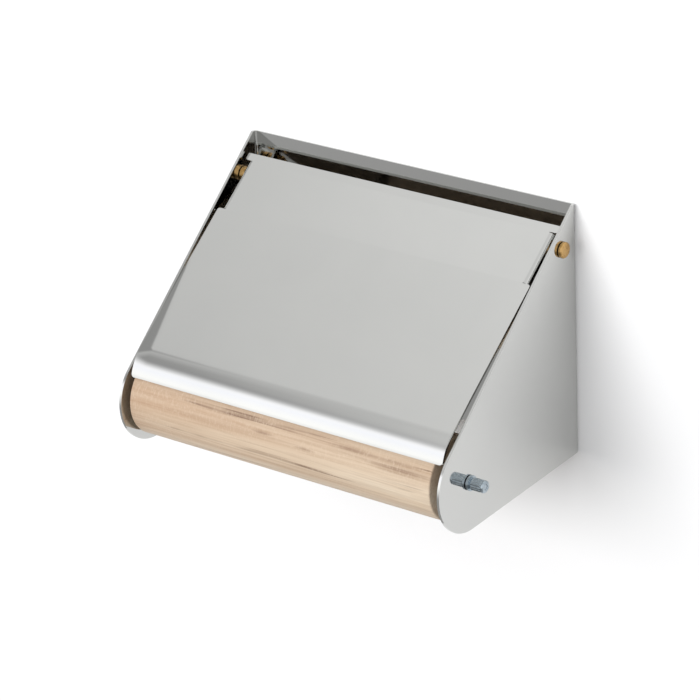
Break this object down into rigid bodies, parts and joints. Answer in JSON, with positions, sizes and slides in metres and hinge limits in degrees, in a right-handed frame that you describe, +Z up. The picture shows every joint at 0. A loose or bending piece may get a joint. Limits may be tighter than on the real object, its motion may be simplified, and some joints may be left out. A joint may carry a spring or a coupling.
{
  "type": "toilet paper holder",
  "caption": "Wall-mounted toilet paper holder: folded polished steel body, hinged steel lid with curled lip, and a wooden roller freed by a pull-out side pin.",
  "frame": {"origin": "centre of the back face, on the wall plane", "axes": "+Y into the wall, the holder stands out along -Y; +Z up; +X towards the pull-out pin"},
  "size_m": [0.1605, 0.0887, 0.1039],
  "materials": {
    "stainless_steel": "mirror-polished stainless sheet",
    "brass": "polished brass",
    "zinc_plated_steel": "bright zinc plate",
    "maple": "clear matt oil on turned maple"
  },
  "bodies": {
    "frame": {"body_shell": "stainless_steel", "hinge_bolt_left": "brass", "hinge_bolt_right": "brass", "hinge_spacer_left": "brass", "hinge_spacer_right": "brass", "hinge_nut_left": "brass", "hinge_nut_right": "brass", "roller_stud": "zinc_plated_steel", "wall_screw_left": "zinc_plated_steel", "wall_screw_right": "zinc_plated_steel"},
    "lid": {"lid": "stainless_steel"},
    "roller": {"roller": "maple"},
    "release_pin": {"release_pin": "zinc_plated_steel"}
  },
  "joints": [
    {"name": "lid_hinge", "type": "hinge", "parent": "frame", "child": "lid", "pos_m": [0, -0.00948, 0.03492], "axis": [-1, 0, 0], "range_deg": [0, 130]},
    {"name": "roller_spin", "type": "hinge", "parent": "frame", "child": "roller", "pos_m": [0, -0.0702, -0.03505], "axis": [1, 0, 0], "continuous": true},
    {"name": "release_pin_slide", "type": "slide", "parent": "frame", "child": "release_pin", "axis": [1, 0, 0], "range_m": [0, 0.012]}
  ]
}
